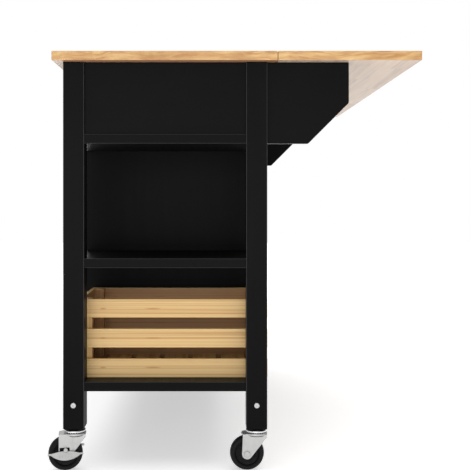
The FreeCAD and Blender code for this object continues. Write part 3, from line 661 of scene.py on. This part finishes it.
def addScrew(mesh, place):
    long, wide = screw["crossLong"], screw["crossWide"]
    corners = [(long, wide), (wide, wide), (wide, long)]
    cross = [(x, y) for turn in range(4) for x, y in
             [((a, b), (-b, a), (-a, -b), (b, -a))[turn] for a, b in corners]]
    angles = [2 * math.pi * index / screw["sides"] for index in range(screw["sides"])]
    circle = [(math.cos(angle), math.sin(angle)) for angle in angles]
    radius, top = screw["radius"], screw["proud"]
    rimRadius, baseRadius = radius * screw["topShare"], radius * screw["coneShare"]
    rim = [mesh.verts.new((rimRadius * x, rimRadius * y, top)) for x, y in circle]
    foot = [mesh.verts.new((radius * x, radius * y, 0)) for x, y in circle]
    base = [mesh.verts.new((baseRadius * x, baseRadius * y, -screw["coneDepth"])) for x, y in circle]
    upper = [mesh.verts.new((x, y, top)) for x, y in cross]
    lower = [mesh.verts.new((x, y, top - screw["crossDepth"])) for x, y in cross]
    loops = []
    for ring in (rim, upper):
        loops += [mesh.edges.new((a, b)) for a, b in zip(ring, ring[1:] + ring[:1])]
    bmesh.ops.triangle_fill(mesh, use_beauty=True, edges=loops)
    for first, second in ((rim, foot), (foot, base), (upper, lower)):
        for index in range(len(first)):
            following = (index + 1) % len(first)
            mesh.faces.new((first[index], first[following], second[following], second[index]))
    mesh.faces.new(base)
    mesh.faces.new(lower)
    bmesh.ops.transform(mesh, matrix=place, verts=rim + foot + base + upper + lower)


def addScrews(name, places, body):
    mesh = bmesh.new()
    for place in places:
        addScrew(mesh, place)
    keepMesh(mesh, name, [blackSteel], body)


leafScrews = {
    "hinges": (-0.3, 0.0, 0.3),
    "along": (-0.021, 0.0, 0.021),
    "fromSeam": 0.0105,
    "drop": 0.0016,
    "turnStep": 0.7,
}
bracketScrews = {
    "heights": (0.014, 0.05, 0.0815, 0.113, 0.149),
    "axisOut": 0.0025,
    "fromAxis": 0.0105,
    "plate": 0.0012,
    "movingTurn": 0.9,
    "fixedTurn": 0.6,
}


def turnedScrews(spots, normal, turnStep):
    return [screwPlace(spot, normal, turnStep * index) for index, spot in enumerate(spots)]


topLow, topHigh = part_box("worktop")
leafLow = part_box("leaf")[0]
seamY = (topHigh.y + leafLow.y) / 2
for side, name, body in ((-1, "leaf_screws_fixed", "frame"), (1, "leaf_screws_moving", "leaf")):
    spots = [(hinge + along, seamY + side * leafScrews["fromSeam"], topLow.z - leafScrews["drop"])
             for hinge in leafScrews["hinges"] for along in leafScrews["along"]]
    addScrews(name, turnedScrews(spots, (0, 0, -1), leafScrews["turnStep"]), body)

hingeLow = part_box("bracket_hinge_leaf_open")[0]
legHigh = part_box("leg_back_open")[1]
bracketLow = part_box("bracket_open")[0]
fixedPlaces = []
for side, end in ((1, "open"), (-1, "cabinet")):
    plateX = side * (bracketLow.x - bracketScrews["plate"])
    axisX = side * (bracketLow.x - bracketScrews["axisOut"])
    movingY = legHigh.y + bracketScrews["axisOut"] + bracketScrews["fromAxis"]
    moving = [(plateX, movingY, hingeLow.z + height) for height in bracketScrews["heights"]]
    movingPlaces = turnedScrews(moving, (-side, 0, 0), bracketScrews["movingTurn"])
    addScrews("bracket_screws_" + end, movingPlaces, "bracket_" + end)
    fixed = [(axisX - side * bracketScrews["fromAxis"], legHigh.y + bracketScrews["plate"],
              hingeLow.z + height) for height in bracketScrews["heights"]]
    fixedPlaces += turnedScrews(fixed, (0, 1, 0), bracketScrews["fixedTurn"])
addScrews("bracket_screws_fixed", fixedPlaces, "frame")
print("hinge screws made")


# Studio

studio = {
    "floorColor": (0.92, 0.92, 0.92),
    "floorGlow": (0.50, 1.05),
    "floorGlowReach": (1.0, 3.5),
    "floorHalf": 9.0,
    "worldColor": (1.0, 1.0, 1.0),
    "worldStrength": 0.42,
    "worldSeen": 1.0,
    "viewTransform": "Standard",
}
lights = {  # place, what it points at, size in metres and power in watts
    "overhead": ((0.0, 0.0, 3.4), (0, 0, 0.5), (5.0, 5.0), 105),
    "openEnd": ((3.6, -0.4, 0.75), (0.2, 0, 0.4), (3.0, 1.5), 33),
    "farEnd": ((-3.6, 0.6, 1.2), (-0.2, 0, 0.45), (4.0, 2.0), 26),
}


def addFloor():
    mesh = bmesh.new()
    bmesh.ops.create_grid(mesh, x_segments=1, y_segments=1, size=studio["floorHalf"])
    data = bpy.data.meshes.new("studioFloor")
    mesh.to_mesh(data)
    mesh.free()
    floor = bpy.data.objects.new("studioFloor", data)
    bpy.context.scene.collection.objects.link(floor)
    material, shader = newMaterial("paleFloor", 0.9, 0.0)
    shader.inputs["Base Color"].default_value = (*studio["floorColor"], 1)
    shader.inputs["Emission Color"].default_value = (*studio["floorColor"], 1)
    # the glow grows with the distance from the cart, so the far floor meets the air without a line
    away = vectorNode(material, "LENGTH", coordinate(material)).outputs["Value"]
    glow = mapped(material, away, *studio["floorGlowReach"], *studio["floorGlow"])
    material.node_tree.links.new(glow, shader.inputs["Emission Strength"])
    data.materials.append(material)


def areaLight(name, place, target, size, power):
    data = bpy.data.lights.new(name, "AREA")
    data.shape = "RECTANGLE"
    data.size, data.size_y = size
    data.energy = power
    light = bpy.data.objects.new(name, data)
    light.location = place
    light.rotation_euler = (Vector(target) - Vector(place)).to_track_quat("-Z", "Y").to_euler()
    bpy.context.scene.collection.objects.link(light)


def setWorld():
    world = bpy.data.worlds.new("studioAir")
    world.use_nodes = True
    background = world.node_tree.nodes["Background"]
    background.inputs["Color"].default_value = (*studio["worldColor"], 1)
    # the air is seen as plain white, and lights the cart more softly than that
    rays = world.node_tree.nodes.new("ShaderNodeLightPath")
    strength = world.node_tree.nodes.new("ShaderNodeMapRange")
    strength.inputs["To Min"].default_value = studio["worldStrength"]
    strength.inputs["To Max"].default_value = studio["worldSeen"]
    world.node_tree.links.new(rays.outputs["Is Camera Ray"], strength.inputs["Value"])
    world.node_tree.links.new(strength.outputs[0], background.inputs["Strength"])
    bpy.context.scene.world = world


addFloor()
setWorld()
for name, (place, target, size, power) in lights.items():
    areaLight(name, place, target, size, power)


# Camera: level, square to the open end, a little behind the frame's middle

view = {
    "distance": 1.776,
    "height": 0.583,
    "side": 0.1026,
    "lens": 63.490213,
    "sensor": 36.0,
    "shift": (0.0468, -0.0738),
}


def addCamera():
    legLow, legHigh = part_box("leg_front_open")
    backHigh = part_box("leg_back_open")[1]
    middleY = (legLow.y + backHigh.y) / 2
    data = bpy.data.cameras.new("openEndView")
    data.sensor_width = view["sensor"]
    data.lens = view["lens"]
    data.shift_x, data.shift_y = view["shift"]
    camera = bpy.data.objects.new("openEndView", data)
    camera.location = (legHigh.x + view["distance"], middleY + view["side"], view["height"])
    camera.rotation_euler = (math.radians(90), 0, math.radians(90))
    bpy.context.scene.collection.objects.link(camera)
    bpy.context.scene.camera = camera


addCamera()
bpy.context.scene.view_settings.view_transform = studio["viewTransform"]
print("studio set")
